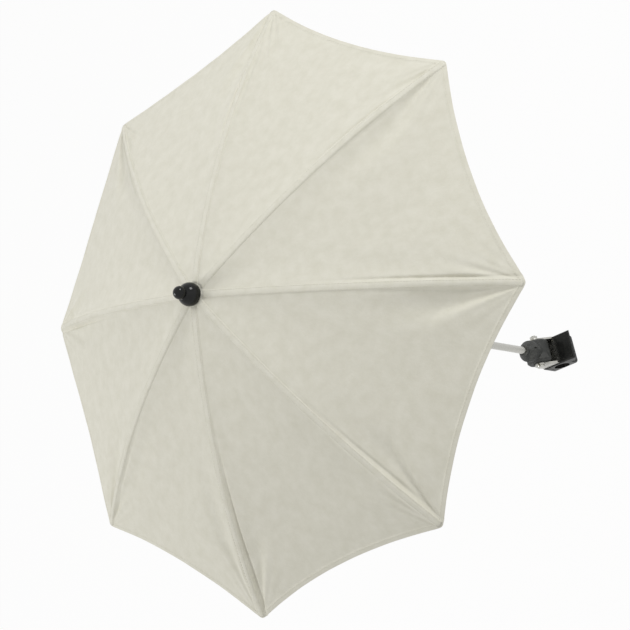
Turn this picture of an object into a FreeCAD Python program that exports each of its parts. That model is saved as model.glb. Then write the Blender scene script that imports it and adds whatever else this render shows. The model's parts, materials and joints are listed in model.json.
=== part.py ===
import FreeCAD, Part
import math
import os

# Pram parasol on a two-jaw tube clamp, in millimetres.
# The origin is the centre of the clamped tube, the tube runs along Y and the shaft along Z.

# Canopy
canopy_radius = 350.0      # shaft axis to a rib tip
canopy_rise = 124.0        # rim plane to the cloth at the shaft
ridge_sagitta = 19.0       # bow of a rib above its chord
hem_scallop = 13.0         # how far the hem curves in between two tips
hem_lift = 9.0             # how far the hem rises between two tips
gore_sag = 5.0             # how far a gore hangs below a straight chord, half way out
cloth = 1.0                # thickness of the cloth
panel_gap = 0.3            # between neighbouring panels
panel_inner = 7.0          # radius of the hole in the cloth
rib_count = 8
rib_phase = -17.0          # azimuth of the first rib, degrees

# Ribs, struts and runner
rib_width = 3.0
rib_height = 3.0
rib_groove_width = 1.6
rib_groove_depth = 1.8
rib_tip_inset = 5.0        # rib end inside the cloth's sewn corner
rib_clear = 0.6            # between rib and cloth
pivot_radius = 9.0         # hinge circle of the crown and of the runner
hinge_drop = 2.5           # hinge axis below the rib's middle line
eye_radius = 2.4
pin_radius = 0.8
rivet_radius = 1.0
rivet_head_radius = 1.9
rivet_head_height = 0.7
strut_length = 150.0       # hinge to hinge, the same on rib and strut
lug_drop = 7.6             # strut's joint below the rib's middle line
strut_width = 3.6
strut_height = 3.0
lug_thickness = 1.4
lug_width = 5.0
fork_depth = 9.0
run_clear = 0.05           # radial clearance of a hinge pin
seat_clear = 0.02          # radial clearance of a fixed pin
side_clear = 0.35          # on each side of a moving eye in its slot

# Shaft, crown, finial
shaft_radius = 5.0
shaft_wall = 0.8
shaft_exposed = 523.0      # knuckle's mouth to the rim plane
crown_radius = 13.0
crown_below = 8.0          # crown's bottom below the hinge axis
crown_above = 2.6          # crown's top above the hinge axis
crown_seat_below = 1.0     # shaft's end below the hinge axis
slot_root = 6.2            # inner end of the slots in crown and runner
crown_rivet_radius = 1.2
crown_rivet_below = 6.2    # rivet axis below the hinge axis
stud_radius = 2.5
stud_in_shaft = 3.0
stud_in_finial = 8.0
finial_boss_radius = 6.4
finial_flange_radius = 12.2
finial_dome_bulge = 3.4    # dome's bow past the straight line to the waist
finial_waist_radius = 6.2
finial_knob_radius = 7.4
finial_height = 27.5
cloth_clear = 0.3          # between the cloth and the finial

# Runner and its catch
runner_clear = 0.3
runner_above = 4.0         # head's top above the strut pivots
runner_head_below = 6.0
runner_length = 50.0       # strut pivots to the sleeve's lower end
runner_sleeve_radius = 8.5
runner_groove_count = 5
runner_groove_pitch = 5.0
runner_groove_radius = 0.8
catch_width = 3.0
catch_length = 24.0        # pivot to the shoulder
catch_nose_radius = 8.0    # nose's reach from the shaft axis
catch_outer = 3.4
catch_inner = 1.0
catch_pivot_radius = 2.2
catch_tail = 2.0
catch_pin_radius = 0.8
catch_gap = 0.8            # between runner and shoulder
catch_slot_clear = 0.4

# Knuckle and yoke
pivot_height = 35.5        # tilt axis above the tube's axis
shaft_offset = 12.0        # shaft axis beside the tube's axis
barrel_radius = 17.0
barrel_half = 15.4
barrel_edge = 2.5
socket_reach = 34.0        # tilt axis to the knuckle's mouth
socket_radius = 7.5
socket_straight = 4.0
body_radius = 14.6
socket_floor = 14.0        # shaft's lower end above the tilt axis
socket_pin_radius = 1.5
socket_pin_below_mouth = 10.0
bolt_radius = 3.0
bolt_head_radius = 5.5
bolt_head_height = 3.0
nut_height = 4.0
nut_radius = 5.8
bolt_past_nut = 1.5
washer_radius = 9.0
washer_thickness = 0.8
flat_clear = 0.1           # between flat faces that slide on each other
ear_thickness = 2.5
ear_radius = 8.0
ear_foot_front = 18.0
ear_foot_back = 8.0
yoke_base = 2.5
yoke_screw_radius = 1.7
yoke_screw_head_radius = 3.2
yoke_screw_head_height = 1.8
yoke_screw_depth = 9.0
yoke_screw_front = -3.0    # from the shaft axis
yoke_screw_side = 11.0

# Clamp
tube_radius = 9.0
pad_thickness = 1.5
pad_split = 1.0            # pad's edge above or below the split plane
jaw_half_width = 20.0
pad_half_width = 18.0
jaw_lip = 10.0             # the upper jaw's front leans out over the hinge
jaw_back = 23.0            # from the tube's axis to the jaw's back end
jaw_lower_depth = 13.5
jaw_split = 0.5            # half of the gap between the jaws
jaw_corner = 4.0
jaw_edge = 2.0
yoke_gap = 1.5             # between the barrel and the yoke's base
hinge_x = 19.0             # jaws' hinge beside the tube's axis
hinge_radius = 3.5
hinge_clear = 0.3
hinge_pin_radius = 1.5
hinge_half_width = 10.0    # the lower jaw's part of the hinge
screw_x = -17.0
screw_radius = 3.0
screw_slot_clear = 0.6
screw_slot_front = 5.0
screw_top = 13.0
screw_hole_above = 1.0
nut_low = 1.5
captive_nut_height = 4.0
captive_nut_across = 10.0
screw_washer_radius = 7.5
screw_washer_thickness = 1.2
screw_washer_gap = 0.3
knob_radius = 9.0
knob_height = 12.0
knob_lobes = 6
knob_flute_radius = 3.0

# Places that follow from the sizes
tilt_z = pivot_height
mouth_z = tilt_z + socket_reach
rim_z = mouth_z + shaft_exposed
jaw_top = tilt_z - barrel_radius - yoke_gap - yoke_base
half_sector = math.pi / rib_count
ridge_chord = math.hypot(canopy_radius, canopy_rise)
ridge_radius = (ridge_chord ** 2 / 4 + ridge_sagitta ** 2) / (2 * ridge_sagitta)
ridge_drop = (ridge_radius - ridge_sagitta) / ridge_chord
ridge_x = canopy_radius / 2 - canopy_rise * ridge_drop
ridge_z = rim_z + canopy_rise / 2 - canopy_radius * ridge_drop
rib_middle = ridge_radius - cloth - rib_clear - rib_height / 2

vec = FreeCAD.Vector
up = vec(0, 0, 1)
along_x = vec(1, 0, 0)
along_y = vec(0, 1, 0)


def ridge_point(radius, angle):
    return vec(ridge_x + radius * math.sin(angle), 0, ridge_z + radius * math.cos(angle))


def ridge_angle(reach, radius):
    return math.asin((reach - ridge_x) / radius)


def ridge_height(reach):
    return ridge_z + math.sqrt(ridge_radius ** 2 - (reach - ridge_x) ** 2)


rib_start = ridge_angle(pivot_radius, rib_middle)
rib_end = ridge_angle(canopy_radius - rib_tip_inset, rib_middle)
crown_z = ridge_point(rib_middle, rib_start).z - hinge_drop
crown_gap = math.hypot(pivot_radius - ridge_x, crown_z - ridge_z)
crown_angle = math.atan2(pivot_radius - ridge_x, crown_z - ridge_z)
joint_circle = rib_middle - lug_drop
joint_cosine = (crown_gap ** 2 + joint_circle ** 2 - strut_length ** 2) / (2 * crown_gap * joint_circle)
joint_angle = crown_angle + math.acos(joint_cosine)
joint_x = ridge_point(joint_circle, joint_angle).x
joint_z = ridge_point(joint_circle, joint_angle).z
strut_tilt = math.asin((crown_z - joint_z) / strut_length)
runner_z = crown_z - 2 * strut_length * math.sin(strut_tilt)
finial_z = ridge_height(panel_inner) + cloth_clear
shaft_bottom = tilt_z + socket_floor
shaft_top = crown_z - crown_seat_below
catch_z = runner_z - runner_length - catch_gap
catch_pivot_z = catch_z - catch_length


def cylinder(radius, length, base, direction):
    return Part.makeCylinder(radius, length, base, direction)


def centred_cylinder(radius, length, centre, direction):
    return Part.makeCylinder(radius, length, centre - direction * (length / 2), direction)


def block(low, high):
    return Part.makeBox(high.x - low.x, high.y - low.y, high.z - low.z, low)


def prism(points, depth, direction):
    wire = Part.makePolygon(points + [points[0]])
    return Part.Face(wire).extrude(direction * depth)


def revolve(edges):
    return Part.Face(Part.Wire(edges)).revolve(vec(0, 0, 0), up, 360)


def line(start, end):
    return Part.LineSegment(start, end).toShape()


def arc(start, middle, end):
    return Part.Arc(start, middle, end).toShape()


def hexagon(across, height, base, direction):
    corner = across / math.sqrt(3)
    points = []
    for k in range(6):
        turn = math.radians(60 * k)
        points.append(vec(corner * math.cos(turn), corner * math.sin(turn), 0))
    solid = prism(points, height, up)
    solid.Placement = FreeCAD.Placement(base, FreeCAD.Rotation(up, direction))
    return solid


def turned(shape, degrees):
    copy = shape.copy()
    copy.rotate(vec(0, 0, 0), up, degrees)
    return copy


def on_shaft(shape):
    copy = shape.copy()
    copy.translate(vec(-shaft_offset, 0, 0))
    return copy


def save(name, shape):
    shape.exportStep("parts/" + name + ".step")


def rib_azimuth(index):
    return rib_phase + 360.0 / rib_count * index


# Height of the cloth's outer face at a point of the panel about the X axis
def cloth_height(x, y):
    along = x * math.cos(half_sector) + abs(y) * math.sin(half_sector)
    across = x * math.sin(half_sector) - abs(y) * math.cos(half_sector)
    reach = along / math.cos(half_sector)
    for step in range(12):
        middle = 1 - (across / (reach * math.sin(half_sector))) ** 2
        share = reach / canopy_radius
        reach = (along + hem_scallop * share ** 2 * middle) / math.cos(half_sector)
    share = reach / canopy_radius
    sag = hem_lift * share ** 2 - gore_sag * 4 * share * (1 - share)
    return ridge_height(reach) + sag * middle


def panel_section(x):
    half = x * math.tan(half_sector) + 1
    top = []
    low = []
    for y in (-half, -half / 2, 0, half / 2, half):
        height = cloth_height(x, y)
        top.append(vec(x, y, height))
        low.append(vec(x, y, height - cloth))
    edges = [arc(top[0], top[1], top[2]), arc(top[2], top[3], top[4]), line(top[4], low[4])]
    edges += [arc(low[4], low[3], low[2]), arc(low[2], low[1], low[0]), line(low[0], top[0])]
    return Part.Wire(edges)


def hem_point(share):
    tip = vec(canopy_radius, 0, 0)
    next_tip = vec(canopy_radius * math.cos(2 * half_sector), canopy_radius * math.sin(2 * half_sector), 0)
    inward = vec(-math.cos(half_sector), -math.sin(half_sector), 0)
    return tip * (1 - share) + next_tip * share + inward * (hem_scallop * 4 * share * (1 - share))


# One rib-centred eighth of the cloth, cut half way between the ribs
def make_panel():
    stations = 7
    first = panel_inner * 0.7
    last = canopy_radius + 4
    sections = []
    for k in range(stations):
        sections.append(panel_section(first + (last - first) * k / (stations - 1)))
    sheet = Part.makeLoft(sections, True, False)
    edge = vec(math.cos(half_sector), math.sin(half_sector), 0)
    inset = vec(math.sin(half_sector), -math.cos(half_sector), 0) * (panel_gap / 2)
    low = vec(0, 0, rim_z - canopy_rise)
    tip = hem_point(0) + low
    bend = hem_point(0.25) + low
    corner = hem_point(0.5) + inset + low
    inner = edge * panel_inner + inset + low
    front = vec(panel_inner, 0, 0) + low
    mirror = [vec(p.x, -p.y, p.z) for p in (bend, corner, inner)]
    outline = [arc(tip, bend, corner), line(corner, inner), arc(inner, front, mirror[2])]
    outline += [line(mirror[2], mirror[1]), arc(mirror[1], mirror[0], tip)]
    cutter = Part.Face(Part.Wire(outline)).extrude(up * (3 * canopy_rise))
    return sheet.common(cutter).Solids[0]


def ridge_band(outer, inner, start, end, width):
    middle = (start + end) / 2
    edges = [arc(ridge_point(outer, start), ridge_point(outer, middle), ridge_point(outer, end))]
    edges.append(line(ridge_point(outer, end), ridge_point(inner, end)))
    edges.append(arc(ridge_point(inner, end), ridge_point(inner, middle), ridge_point(inner, start)))
    edges.append(line(ridge_point(inner, start), ridge_point(outer, start)))
    face = Part.Face(Part.Wire(edges))
    face.translate(vec(0, -width / 2, 0))
    return face.extrude(along_y * width)


# Curved channel rib with its crown eye and the lug of its strut
def make_rib():
    outer = rib_middle + rib_height / 2
    inner = rib_middle - rib_height / 2
    rib = ridge_band(outer, inner, rib_start, rib_end, rib_width)
    eye = vec(pivot_radius, 0, crown_z)
    joint = vec(joint_x, 0, joint_z)
    seat = ridge_point(rib_middle, joint_angle)
    groove_start = rib_start + 3 * eye_radius / rib_middle
    groove_stop = joint_angle - lug_width / rib_middle
    groove_again = joint_angle + lug_width / rib_middle
    groove_end = rib_end - 2 * eye_radius / rib_middle
    for start, end in ((groove_start, groove_stop), (groove_again, groove_end)):
        groove = ridge_band(inner + rib_groove_depth, inner - 1, start, end, rib_groove_width)
        rib = rib.cut(groove)
    rib = rib.fuse(centred_cylinder(eye_radius, rib_width, eye, along_y))
    neck_low = vec(pivot_radius - rib_height / 2, -rib_width / 2, crown_z)
    neck_high = vec(pivot_radius + eye_radius, rib_width / 2, crown_z + hinge_drop)
    rib = rib.fuse(block(neck_low, neck_high))
    web_low = vec(joint_x - lug_width / 2, -lug_thickness / 2, joint_z)
    web_high = vec(joint_x + lug_width / 2, lug_thickness / 2, seat.z)
    rib = rib.fuse(block(web_low, web_high))
    rib = rib.fuse(centred_cylinder(lug_width / 2, lug_thickness, joint, along_y))
    rib = rib.cut(centred_cylinder(pin_radius + run_clear, 2 * rib_width, eye, along_y))
    rib = rib.cut(centred_cylinder(rivet_radius + run_clear, 2 * rib_width, joint, along_y))
    return rib.removeSplitter()


# Strut from the runner to the rib's lug, forked at the lug
def make_stretcher():
    inner = vec(0, 0, 0)
    outer = vec(strut_length, 0, 0)
    low = vec(0, -strut_width / 2, -strut_height / 2)
    high = vec(strut_length, strut_width / 2, strut_height / 2)
    strut = block(low, high)
    strut = strut.fuse(centred_cylinder(eye_radius, strut_width, inner, along_y))
    strut = strut.fuse(centred_cylinder(eye_radius, strut_width, outer, along_y))
    slot_half = lug_thickness / 2 + side_clear
    slot_low = vec(strut_length - fork_depth, -slot_half, -2 * eye_radius)
    slot_high = vec(strut_length + 2 * eye_radius, slot_half, 2 * eye_radius)
    strut = strut.cut(block(slot_low, slot_high))
    strut = strut.cut(centred_cylinder(pin_radius + run_clear, 2 * strut_width, inner, along_y))
    strut = strut.cut(centred_cylinder(rivet_radius + seat_clear, 2 * strut_width, outer, along_y))
    strut.rotate(inner, vec(0, -1, 0), math.degrees(strut_tilt))
    strut.translate(vec(pivot_radius, 0, runner_z))
    return strut.removeSplitter()


def make_stretcher_rivet():
    joint = vec(joint_x, 0, joint_z)
    side = strut_width / 2
    rivet = centred_cylinder(rivet_radius, strut_width, joint, along_y)
    rivet = rivet.fuse(cylinder(rivet_head_radius, rivet_head_height, joint + along_y * side, along_y))
    return rivet.fuse(cylinder(rivet_head_radius, rivet_head_height, joint - along_y * side, -along_y))


# Radial slots for the moving eyes, and the holes of their pins
def cut_eye_slots(shape, eye_width, pivot_z, low_z, high_z):
    half = eye_width / 2 + side_clear
    slot = block(vec(slot_root, -half, low_z), vec(2 * crown_radius, half, high_z))
    hole = centred_cylinder(pin_radius + seat_clear, pin_length(eye_width), vec(pivot_radius, 0, pivot_z), along_y)
    for k in range(rib_count):
        shape = shape.cut(turned(slot.fuse(hole), rib_azimuth(k)))
    return shape


def pin_length(eye_width):
    return eye_width + 2 * side_clear + 2


def make_pins(eye_width, pivot_z):
    pin = centred_cylinder(pin_radius, pin_length(eye_width), vec(pivot_radius, 0, pivot_z), along_y)
    return Part.makeCompound([turned(pin, rib_azimuth(k)) for k in range(rib_count)])


web_direction = vec(math.cos(math.radians(rib_phase) + half_sector), math.sin(math.radians(rib_phase) + half_sector), 0)
crown_rivet_centre = vec(0, 0, crown_z - crown_rivet_below)


def make_crown():
    bottom = crown_z - crown_below
    crown = cylinder(crown_radius, crown_below + crown_above, vec(0, 0, bottom), up)
    crown = crown.cut(cylinder(shaft_radius + seat_clear, shaft_top - bottom, vec(0, 0, bottom), up))
    crown = crown.cut(cylinder(stud_radius + seat_clear, 2 * crown_below, vec(0, 0, bottom), up))
    crown = cut_eye_slots(crown, rib_width, crown_z, bottom - 1, crown_z + crown_above + 1)
    rivet_hole = centred_cylinder(crown_rivet_radius + seat_clear, 3 * crown_radius, crown_rivet_centre, web_direction)
    return crown.cut(rivet_hole)


def make_crown_rivet():
    return centred_cylinder(crown_rivet_radius, 2 * crown_radius - 1, crown_rivet_centre, web_direction)


def make_finial():
    foot = crown_z + crown_above
    knob_z = finial_z + finial_height - finial_knob_radius
    waist = vec(finial_waist_radius, 0, knob_z - math.sqrt(finial_knob_radius ** 2 - finial_waist_radius ** 2))
    flange = vec(finial_flange_radius, 0, finial_z)
    dome_side = vec(waist.z - flange.z, 0, flange.x - waist.x).normalize()
    dome_bend = (flange + waist) * 0.5 + dome_side * finial_dome_bulge
    edges = [line(vec(0, 0, foot), vec(finial_boss_radius, 0, foot))]
    edges.append(line(vec(finial_boss_radius, 0, foot), vec(finial_boss_radius, 0, finial_z)))
    edges.append(line(vec(finial_boss_radius, 0, finial_z), flange))
    edges.append(arc(flange, dome_bend, waist))
    equator = vec(finial_knob_radius, 0, knob_z)
    crest = vec(0, 0, knob_z + finial_knob_radius)
    edges.append(arc(waist, equator, crest))
    edges.append(line(crest, vec(0, 0, foot)))
    finial = revolve(edges)
    hole = cylinder(stud_radius + seat_clear, finial_z + stud_in_finial - foot, vec(0, 0, foot), up)
    return finial.cut(hole)


def make_finial_stud():
    low = shaft_top - stud_in_shaft
    return cylinder(stud_radius, finial_z + stud_in_finial - low, vec(0, 0, low), up)


catch_turn = rib_phase + math.degrees(half_sector)
socket_pin_centre = vec(0, 0, mouth_z - socket_pin_below_mouth)


def make_shaft():
    shaft = cylinder(shaft_radius, shaft_top - shaft_bottom, vec(0, 0, shaft_bottom), up)
    shaft = shaft.cut(cylinder(shaft_radius - shaft_wall, shaft_top - shaft_bottom, vec(0, 0, shaft_bottom), up))
    slot_half = catch_width / 2 + catch_slot_clear
    slot_low = vec(0, -slot_half, catch_pivot_z + catch_tail + 1)
    slot = block(slot_low, vec(2 * shaft_radius, slot_half, catch_z + 2 * catch_slot_clear))
    pin_hole = centred_cylinder(catch_pin_radius + seat_clear, 3 * shaft_radius,
                                vec(catch_pivot_radius, 0, catch_pivot_z), along_y)
    shaft = shaft.cut(turned(slot.fuse(pin_hole), catch_turn))
    rivet_hole = centred_cylinder(crown_rivet_radius + seat_clear, 3 * shaft_radius, crown_rivet_centre, web_direction)
    shaft = shaft.cut(rivet_hole)
    return shaft.cut(centred_cylinder(socket_pin_radius + seat_clear, 3 * shaft_radius, socket_pin_centre, along_x))


# Spring tongue whose shoulder carries the runner
def make_catch():
    half = catch_width / 2
    points = [vec(catch_inner, -half, catch_pivot_z - catch_tail), vec(catch_outer, -half, catch_pivot_z - catch_tail)]
    points.append(vec(catch_outer, -half, catch_pivot_z + 2 * catch_tail))
    points.append(vec(catch_nose_radius, -half, catch_z - catch_tail))
    points.append(vec(catch_nose_radius, -half, catch_z))
    points.append(vec(catch_inner, -half, catch_z))
    tongue = prism(points, catch_width, along_y)
    hole = centred_cylinder(catch_pin_radius + run_clear, 2 * catch_width,
                            vec(catch_pivot_radius, 0, catch_pivot_z), along_y)
    return turned(tongue.cut(hole), catch_turn)


def make_catch_pin():
    reach = math.sqrt(shaft_radius ** 2 - (catch_pivot_radius + catch_pin_radius) ** 2)
    pin = centred_cylinder(catch_pin_radius, 2 * reach, vec(catch_pivot_radius, 0, catch_pivot_z), along_y)
    return turned(pin, catch_turn)


def make_runner():
    head_low = runner_z - runner_head_below
    low = runner_z - runner_length
    runner = cylinder(crown_radius, runner_head_below + runner_above, vec(0, 0, head_low), up)
    runner = cut_eye_slots(runner, strut_width, runner_z, head_low + eye_radius / 2, runner_z + runner_above + 1)
    sleeve = cylinder(runner_sleeve_radius, head_low - low, vec(0, 0, low), up)
    for k in range(runner_groove_count):
        height = low + runner_groove_pitch * (k + 1)
        ring = Part.makeTorus(runner_sleeve_radius, runner_groove_radius, vec(0, 0, height), up)
        sleeve = sleeve.cut(ring)
    runner = runner.fuse(sleeve)
    bore = cylinder(shaft_radius + runner_clear, runner_length + 2 * runner_above, vec(0, 0, low - 1), up)
    return runner.cut(bore).removeSplitter()


def make_knuckle():
    tilt = vec(0, 0, tilt_z)
    barrel = centred_cylinder(barrel_radius, 2 * barrel_half, tilt, along_y)
    barrel = barrel.makeChamfer(barrel_edge, [e for e in barrel.Edges if e.Closed])
    cone_top = mouth_z - socket_straight
    cone_low = cone_top - (body_radius - socket_radius)
    points = [vec(0, 0, tilt_z), vec(body_radius, 0, tilt_z), vec(body_radius, 0, cone_low)]
    points += [vec(socket_radius, 0, cone_top), vec(socket_radius, 0, mouth_z), vec(0, 0, mouth_z)]
    edges = [line(points[k], points[(k + 1) % len(points)]) for k in range(len(points))]
    knuckle = barrel.fuse(revolve(edges))
    knuckle = knuckle.cut(cylinder(shaft_radius + seat_clear, socket_reach, vec(0, 0, shaft_bottom), up))
    knuckle = knuckle.cut(centred_cylinder(bolt_radius + run_clear, 4 * barrel_half, tilt, along_y))
    pin_hole = centred_cylinder(socket_pin_radius + seat_clear, 4 * body_radius, socket_pin_centre, along_x)
    return knuckle.cut(pin_hole).removeSplitter()


def make_socket_pin():
    return centred_cylinder(socket_pin_radius, 2 * socket_pin_reach, socket_pin_centre, along_x)


cone_at_pin = socket_radius + max(0.0, socket_pin_below_mouth - socket_straight)
socket_pin_reach = min(body_radius, cone_at_pin) - socket_pin_radius
ear_inside = barrel_half + flat_clear + washer_thickness
ear_outside = ear_inside + ear_thickness


def make_friction_washers():
    rings = []
    for side in (-1, 1):
        base = vec(0, side * (barrel_half + flat_clear), tilt_z)
        ring = cylinder(washer_radius, washer_thickness, base, along_y * side)
        rings.append(ring.cut(cylinder(bolt_radius + seat_clear, washer_thickness, base, along_y * side)))
    return Part.makeCompound(rings)


def make_yoke():
    base_low = vec(-ear_foot_back, -ear_outside, jaw_top)
    base_high = vec(ear_foot_front, ear_outside, jaw_top + yoke_base)
    yoke = block(base_low, base_high)
    for side in (-1, 1):
        outer = vec(0, side * ear_outside, tilt_z)
        inward = along_y * -side
        ear = cylinder(ear_radius, ear_thickness, outer, inward)
        foot = [vec(-ear_foot_back, outer.y, jaw_top), vec(ear_foot_front, outer.y, jaw_top)]
        foot += [vec(ear_foot_front, outer.y, jaw_top + 2 * yoke_base), vec(ear_radius, outer.y, tilt_z)]
        foot.append(vec(-ear_radius, outer.y, tilt_z))
        yoke = yoke.fuse(ear).fuse(prism(foot, ear_thickness, inward))
    yoke = yoke.cut(centred_cylinder(bolt_radius + seat_clear, 4 * ear_outside, vec(0, 0, tilt_z), along_y))
    for side in (-1, 1):
        place = vec(yoke_screw_front, side * yoke_screw_side, jaw_top)
        yoke = yoke.cut(cylinder(yoke_screw_radius + seat_clear, yoke_base, place, up))
        head_low = place + up * (yoke_base - yoke_screw_head_height)
        yoke = yoke.cut(cylinder(yoke_screw_head_radius + seat_clear, yoke_screw_head_height, head_low, up))
    return yoke.removeSplitter()


def make_yoke_screws():
    screws = []
    for side in (-1, 1):
        place = vec(yoke_screw_front, side * yoke_screw_side, jaw_top + yoke_base)
        shank = cylinder(yoke_screw_radius, yoke_base + yoke_screw_depth, place, -up)
        screws.append(shank.fuse(cylinder(yoke_screw_head_radius, yoke_screw_head_height, place, -up)))
    return Part.makeCompound(screws)


def make_pivot_bolt():
    head = vec(0, -ear_outside, tilt_z)
    length = 2 * ear_outside + nut_height + bolt_past_nut
    bolt = cylinder(bolt_radius, length, head, along_y)
    dome = cylinder(bolt_head_radius, bolt_head_height, head, -along_y)
    rim = [e for e in dome.Edges if e.Closed and e.CenterOfMass.y < head.y - bolt_head_height / 2]
    return bolt.fuse(dome.makeFillet(bolt_head_height * 0.6, rim))


def make_pivot_nut():
    base = vec(0, ear_outside, tilt_z)
    nut = hexagon(nut_radius * math.sqrt(3), nut_height, base, along_y)
    return nut.cut(cylinder(bolt_radius + seat_clear, nut_height, base, along_y))


pad_radius = tube_radius + pad_thickness
hinge_centre = vec(hinge_x, 0, 0)
jaw_front = hinge_x + hinge_radius


def round_corners(shape, radius):
    uprights = [e for e in shape.Edges if abs(e.tangentAt(e.FirstParameter).z) > 0.99]
    return shape.makeFillet(radius, uprights)


def hinge_piece(radius, low_y, high_y):
    return cylinder(radius, high_y - low_y, vec(hinge_x, low_y, 0), along_y)


def make_upper_jaw():
    profile = [vec(-jaw_back, -jaw_half_width, jaw_split), vec(jaw_front, -jaw_half_width, jaw_split)]
    profile.append(vec(jaw_front + jaw_lip, -jaw_half_width, jaw_top))
    profile.append(vec(-jaw_back, -jaw_half_width, jaw_top))
    jaw = round_corners(prism(profile, 2 * jaw_half_width, along_y), jaw_corner)
    top_edges = [e for e in jaw.Edges if e.BoundBox.ZMin > jaw_top - 0.01]
    jaw = jaw.makeFillet(jaw_edge, top_edges)
    inner = hinge_half_width + hinge_clear
    for side in (-1, 1):
        low_y, high_y = sorted((side * inner, side * (jaw_half_width - jaw_corner)))
        jaw = jaw.fuse(hinge_piece(hinge_radius, low_y, high_y))
    jaw = jaw.cut(hinge_piece(hinge_radius + hinge_clear, -inner, inner))
    jaw = jaw.cut(centred_cylinder(pad_radius + seat_clear, 4 * jaw_half_width, vec(0, 0, 0), along_y))
    jaw = jaw.cut(centred_cylinder(hinge_pin_radius + seat_clear, 4 * jaw_half_width, hinge_centre, along_y))
    hole_top = screw_top + screw_hole_above
    jaw = jaw.cut(cylinder(screw_radius + side_clear, hole_top, vec(screw_x, 0, 0), up))
    pocket = hexagon(captive_nut_across + 2 * seat_clear, captive_nut_height + nut_low, vec(screw_x, 0, 0), up)
    jaw = jaw.cut(pocket)
    for side in (-1, 1):
        place = vec(yoke_screw_front - shaft_offset, side * yoke_screw_side, jaw_top)
        jaw = jaw.cut(cylinder(yoke_screw_radius + seat_clear, yoke_screw_depth, place, -up))
    return jaw.removeSplitter()


def make_lower_jaw():
    low = vec(-jaw_back, -jaw_half_width, -jaw_lower_depth)
    jaw = block(low, vec(hinge_x, jaw_half_width, -jaw_split))
    jaw = round_corners(jaw, jaw_corner)
    low_edges = [e for e in jaw.Edges if e.BoundBox.ZMax < 0.01 - jaw_lower_depth]
    jaw = jaw.makeFillet(jaw_edge, low_edges)
    jaw = jaw.fuse(hinge_piece(hinge_radius, -hinge_half_width, hinge_half_width))
    for side in (-1, 1):
        low_y, high_y = sorted((side * hinge_half_width, side * 2 * jaw_half_width))
        jaw = jaw.cut(hinge_piece(hinge_radius + hinge_clear, low_y, high_y))
    jaw = jaw.cut(centred_cylinder(pad_radius + seat_clear, 4 * jaw_half_width, vec(0, 0, 0), along_y))
    jaw = jaw.cut(centred_cylinder(hinge_pin_radius + run_clear, 4 * jaw_half_width, hinge_centre, along_y))
    slot_half = screw_radius + screw_slot_clear
    slot_low = vec(-2 * jaw_back, -slot_half, -2 * jaw_lower_depth)
    jaw = jaw.cut(block(slot_low, vec(screw_x + screw_slot_front, slot_half, 0)))
    return jaw.removeSplitter()


def make_pad(side):
    ring = centred_cylinder(pad_radius, 2 * pad_half_width, vec(0, 0, 0), along_y)
    ring = ring.cut(centred_cylinder(tube_radius, 4 * pad_half_width, vec(0, 0, 0), along_y))
    reach = 2 * pad_radius
    low_z, high_z = sorted((side * pad_split, side * reach))
    return ring.common(block(vec(-reach, -reach * 2, low_z), vec(reach, reach * 2, high_z)))


def make_hinge_pin():
    return centred_cylinder(hinge_pin_radius, 2 * (jaw_half_width - jaw_corner), hinge_centre, along_y)


def make_captive_nut():
    base = vec(screw_x, 0, nut_low)
    nut = hexagon(captive_nut_across, captive_nut_height, base, up)
    return nut.cut(cylinder(screw_radius + run_clear, captive_nut_height, base, up))


washer_top = -jaw_lower_depth - screw_washer_gap
knob_top = washer_top - screw_washer_thickness - flat_clear


def make_screw_washer():
    washer = cylinder(screw_washer_radius, screw_washer_thickness, vec(screw_x, 0, washer_top), -up)
    return washer.cut(cylinder(screw_radius + run_clear, screw_washer_thickness, vec(screw_x, 0, washer_top), -up))


def make_thumbscrew_rod():
    low = knob_top - knob_height * 0.75
    return cylinder(screw_radius, screw_top - low, vec(screw_x, 0, low), up)


def make_thumbscrew_knob():
    centre = vec(screw_x, 0, knob_top)
    knob = cylinder(knob_radius, knob_height, centre, -up)
    flute_circle = knob_radius + knob_flute_radius / 2
    for k in range(knob_lobes):
        turn = 2 * math.pi * k / knob_lobes
        place = centre + vec(flute_circle * math.cos(turn), flute_circle * math.sin(turn), 0)
        knob = knob.cut(cylinder(knob_flute_radius, knob_height, place, -up))
    return knob.cut(cylinder(screw_radius + seat_clear, knob_height * 0.75, centre, -up))


os.makedirs("parts", exist_ok=True)

save("shaft_tube", on_shaft(make_shaft()))
save("crown", on_shaft(make_crown()))
save("crown_pins", on_shaft(make_pins(rib_width, crown_z)))
save("crown_rivet", on_shaft(make_crown_rivet()))
save("finial", on_shaft(make_finial()))
save("finial_stud", on_shaft(make_finial_stud()))
save("top_catch", on_shaft(make_catch()))
save("catch_pin", on_shaft(make_catch_pin()))
save("runner", on_shaft(make_runner()))
save("runner_pins", on_shaft(make_pins(strut_width, runner_z)))
save("knuckle", on_shaft(make_knuckle()))
save("socket_pin", on_shaft(make_socket_pin()))
save("friction_washers", on_shaft(make_friction_washers()))
save("yoke", on_shaft(make_yoke()))
save("yoke_screws", on_shaft(make_yoke_screws()))
save("pivot_bolt", on_shaft(make_pivot_bolt()))
save("pivot_nut", on_shaft(make_pivot_nut()))

rib = make_rib()
stretcher = make_stretcher()
stretcher_rivet = make_stretcher_rivet()
panel = make_panel()
for k in range(rib_count):
    azimuth = rib_azimuth(k)
    save("rib_%d" % (k + 1), on_shaft(turned(rib, azimuth)))
    save("stretcher_%d" % (k + 1), on_shaft(turned(stretcher, azimuth)))
    save("stretcher_rivet_%d" % (k + 1), on_shaft(turned(stretcher_rivet, azimuth)))
    save("canopy_panel_%d" % (k + 1), on_shaft(turned(panel, azimuth)))

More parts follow.
